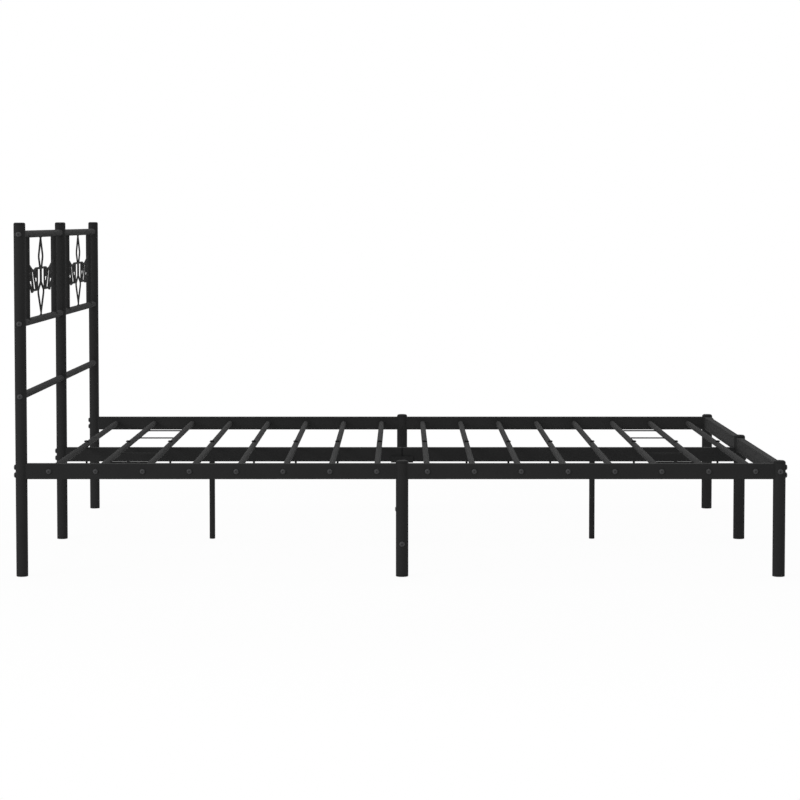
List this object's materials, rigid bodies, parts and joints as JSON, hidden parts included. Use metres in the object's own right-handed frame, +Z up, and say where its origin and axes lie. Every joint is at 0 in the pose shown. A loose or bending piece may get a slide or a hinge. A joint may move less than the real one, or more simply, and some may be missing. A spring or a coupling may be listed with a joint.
{
  "type": "metal bed frame",
  "caption": "Black steel tube bed frame with a low platform of round slats, a centre beam and a tall headboard with scrollwork panels.",
  "frame": {"origin": "on the floor, at the middle of the overall length and width", "axes": "+X from the head end to the foot end, +Y across the bed, +Z up"},
  "size_m": [1.9824, 1.47, 0.9075],
  "materials": {
    "black_powder_coat": "satin powder coat",
    "black_plastic": "moulded matte",
    "black_bolt": "black oxide",
    "plain_steel": "bare"
  },
  "bodies": {
    "root": {"beam_inserts": "black_bolt", "beam_saddle": "black_powder_coat", "beam_splice": "black_powder_coat", "centre_beam_foot": "black_powder_coat", "centre_beam_head": "black_powder_coat", "cross_bolts": "black_bolt", "end_plugs": "plain_steel", "foot_post_centre": "black_powder_coat", "foot_post_far": "black_powder_coat", "foot_post_near": "black_powder_coat", "foot_rail_far": "black_powder_coat", "foot_rail_near": "black_powder_coat", "head_lower_rail_far": "black_powder_coat", "head_lower_rail_near": "black_powder_coat", "head_panel_rail_far": "black_powder_coat", "head_panel_rail_near": "black_powder_coat", "head_post_centre": "black_powder_coat", "head_post_far": "black_powder_coat", "head_post_near": "black_powder_coat", "head_top_rail_far": "black_powder_coat", "head_top_rail_near": "black_powder_coat", "leg_feet": "black_plastic", "mid_leg_centre": "black_powder_coat", "mid_leg_far": "black_powder_coat", "mid_leg_near": "black_powder_coat", "panel_uprights_far": "black_powder_coat", "panel_uprights_near": "black_powder_coat", "post_caps": "black_plastic", "post_stubs": "plain_steel", "rail_bolts": "black_bolt", "scroll_panel_far": "black_powder_coat", "scroll_panel_near": "black_powder_coat", "side_rail_far_foot": "black_powder_coat", "side_rail_far_head": "black_powder_coat", "side_rail_near_foot": "black_powder_coat", "side_rail_near_head": "black_powder_coat", "slat_01": "black_powder_coat", "slat_02": "black_powder_coat", "slat_03": "black_powder_coat", "slat_04": "black_powder_coat", "slat_05": "black_powder_coat", "slat_06": "black_powder_coat", "slat_07": "black_powder_coat", "slat_08": "black_powder_coat", "slat_09": "black_powder_coat", "slat_10": "black_powder_coat", "slat_11": "black_powder_coat", "slat_12": "black_powder_coat", "slat_13": "black_powder_coat", "slat_14": "black_powder_coat", "slat_15": "black_powder_coat", "slat_16": "black_powder_coat", "slat_centre_bolts": "black_bolt", "slat_end_bolts": "black_bolt", "stretcher_coupler": "plain_steel", "stretcher_far": "black_powder_coat", "stretcher_near": "black_powder_coat", "stub_screws": "black_bolt", "support_legs": "black_powder_coat", "tie_rods": "black_powder_coat"}
  },
  "joints": []
}
